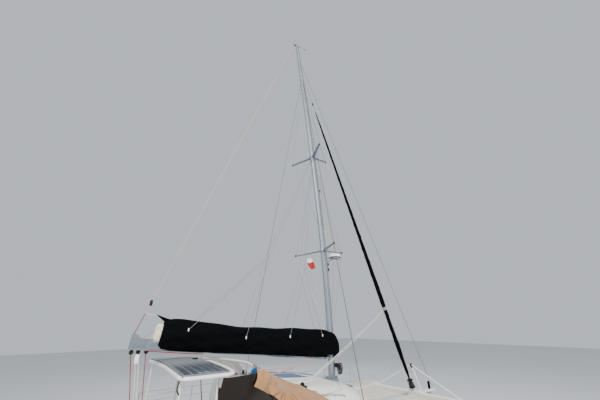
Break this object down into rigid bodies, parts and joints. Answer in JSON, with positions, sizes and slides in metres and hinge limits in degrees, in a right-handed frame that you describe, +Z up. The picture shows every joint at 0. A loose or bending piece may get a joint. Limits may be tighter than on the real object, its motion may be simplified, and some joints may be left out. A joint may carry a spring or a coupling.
{
  "type": "sailing catamaran",
  "caption": "Cruising sailing catamaran afloat: hulls, coachroof, hardtop cockpit, fractional rig, furled headsail, covered mainsail on a swinging boom.",
  "frame": {"origin": "on the waterline, on the centreline at half the hulls' length", "axes": "+X to the bows, +Y to port, +Z up"},
  "size_m": [12.435, 6.5, 19.52],
  "materials": {
    "white_gelcoat": "moulded, polished",
    "antifouling_paint": "matt",
    "anodised_alloy": "anodised",
    "cast_alloy": "sprayed",
    "bronze": "cast, polished",
    "stainless_steel": "polished",
    "galvanised_steel": "galvanised",
    "tinted_glass": "tinted",
    "tinted_acrylic": "tinted",
    "clear_vinyl": "clear",
    "nonskid_gelcoat": "textured",
    "black_canvas": "woven acrylic",
    "tan_canvas": "woven acrylic",
    "cream_net": "woven net",
    "cushion_fabric": "woven",
    "teak": "oiled",
    "black_plastic": "moulded",
    "solar_cells": "laminated cells"
  },
  "bodies": {
    "boat": {"hull_port": "white_gelcoat", "hull_starboard": "white_gelcoat", "keel_port": "antifouling_paint", "keel_starboard": "antifouling_paint", "saildrive_port": "cast_alloy", "saildrive_starboard": "cast_alloy", "bridge_deck": "white_gelcoat", "coachroof": "white_gelcoat", "saloon_window_port": "tinted_glass", "saloon_window_starboard": "tinted_glass", "saloon_window_front": "tinted_glass", "saloon_bulkhead": "white_gelcoat", "saloon_settee": "cushion_fabric", "saloon_table": "teak", "cockpit_bench": "white_gelcoat", "helm_console": "white_gelcoat", "helm_seat": "cushion_fabric", "hardtop": "white_gelcoat", "solar_panels": "solar_cells", "hardtop_posts_port": "stainless_steel", "hardtop_posts_starboard": "stainless_steel", "mast": "anodised_alloy", "spreaders_lower": "anodised_alloy", "spreaders_upper": "anodised_alloy", "radar": "white_gelcoat", "cover_apron": "black_canvas", "shroud_port": "stainless_steel", "shroud_starboard": "stainless_steel", "forestay": "stainless_steel", "outer_stay": "stainless_steel", "crossbeam": "anodised_alloy", "bowsprit": "anodised_alloy", "trampoline_port": "cream_net", "trampoline_starboard": "cream_net", "anchor": "galvanised_steel", "guardrail_port": "stainless_steel", "guardrail_starboard": "stainless_steel", "winch_port": "stainless_steel", "winch_starboard": "stainless_steel", "traveller": "anodised_alloy", "dodger_hoop": "stainless_steel", "dodger_screen": "clear_vinyl", "helm_canvas": "tan_canvas", "helm_canvas_side": "tan_canvas", "helm_curtain": "clear_vinyl"},
    "boom": {"boom": "anodised_alloy", "sail_cover": "black_canvas"},
    "furler": {"furled_headsail": "black_canvas", "furler_drum": "black_plastic"},
    "helm_wheel": {"steering_wheel": "stainless_steel"},
    "rudder_port": {"rudder_port": "antifouling_paint"},
    "rudder_starboard": {"rudder_starboard": "antifouling_paint"},
    "propeller_port": {"propeller_port": "bronze"},
    "propeller_starboard": {"propeller_starboard": "bronze"},
    "hatch_port": {"deck_hatch_port": "tinted_acrylic"},
    "hatch_starboard": {"deck_hatch_starboard": "tinted_acrylic"},
    "locker_port": {"locker_lid_port": "nonskid_gelcoat"},
    "locker_starboard": {"locker_lid_starboard": "nonskid_gelcoat"},
    "door": {"saloon_door": "tinted_glass"},
    "ladder": {"swim_ladder": "stainless_steel"}
  },
  "joints": [
    {"name": "helm", "type": "hinge", "parent": "boat", "child": "helm_wheel", "pos_m": [-2.86, -1.15, 1.78], "axis": [1, 0, 0], "range_deg": [-540, 540]},
    {"name": "rudder_port_turn", "type": "hinge", "parent": "boat", "child": "rudder_port", "pos_m": [-4.93, 2.4, 0], "axis": [0, 0, 1], "range_deg": [-35, 35]},
    {"name": "rudder_starboard_turn", "type": "hinge", "parent": "boat", "child": "rudder_starboard", "pos_m": [-4.93, -2.4, 0], "axis": [0, 0, 1], "range_deg": [-35, 35]},
    {"name": "propeller_port_spin", "type": "hinge", "parent": "boat", "child": "propeller_port", "pos_m": [-3.7203, 2.4, -0.7], "axis": [1, 0, 0], "continuous": true},
    {"name": "propeller_starboard_spin", "type": "hinge", "parent": "boat", "child": "propeller_starboard", "pos_m": [-3.7203, -2.4, -0.7], "axis": [1, 0, 0], "continuous": true},
    {"name": "boom_swing", "type": "hinge", "parent": "boat", "child": "boom", "pos_m": [0.70778, 0, 3.01], "axis": [0, 0, 1], "range_deg": [-50, 50]},
    {"name": "furler_spin", "type": "hinge", "parent": "boat", "child": "furler", "pos_m": [5.11, 0, 1.56], "axis": [-0.3424, 0, 0.9395], "continuous": true},
    {"name": "door_slide", "type": "slide", "parent": "boat", "child": "door", "axis": [0, 1, 0], "range_m": [0, 0.65]},
    {"name": "hatch_port_hinge", "type": "hinge", "parent": "boat", "child": "hatch_port", "pos_m": [3.953, 2.4, 1.513], "axis": [0, 1, 0], "range_deg": [0, 95]},
    {"name": "hatch_starboard_hinge", "type": "hinge", "parent": "boat", "child": "hatch_starboard", "pos_m": [3.953, -2.4, 1.513], "axis": [0, 1, 0], "range_deg": [0, 95]},
    {"name": "locker_port_hinge", "type": "hinge", "parent": "boat", "child": "locker_port", "pos_m": [2.823, 0.64, 1.513], "axis": [0, 1, 0], "range_deg": [0, 95]},
    {"name": "locker_starboard_hinge", "type": "hinge", "parent": "boat", "child": "locker_starboard", "pos_m": [2.823, -0.64, 1.513], "axis": [0, 1, 0], "range_deg": [0, 95]},
    {"name": "ladder_hinge", "type": "hinge", "parent": "boat", "child": "ladder", "pos_m": [-5.845, -2.4, 0.475], "axis": [0, -1, 0], "range_deg": [0, 175]}
  ],
  "couplings": [
    {"joint": "rudder_port_turn", "follows": "helm", "ratio": 0.0648},
    {"joint": "rudder_starboard_turn", "follows": "helm", "ratio": 0.0648}
  ]
}
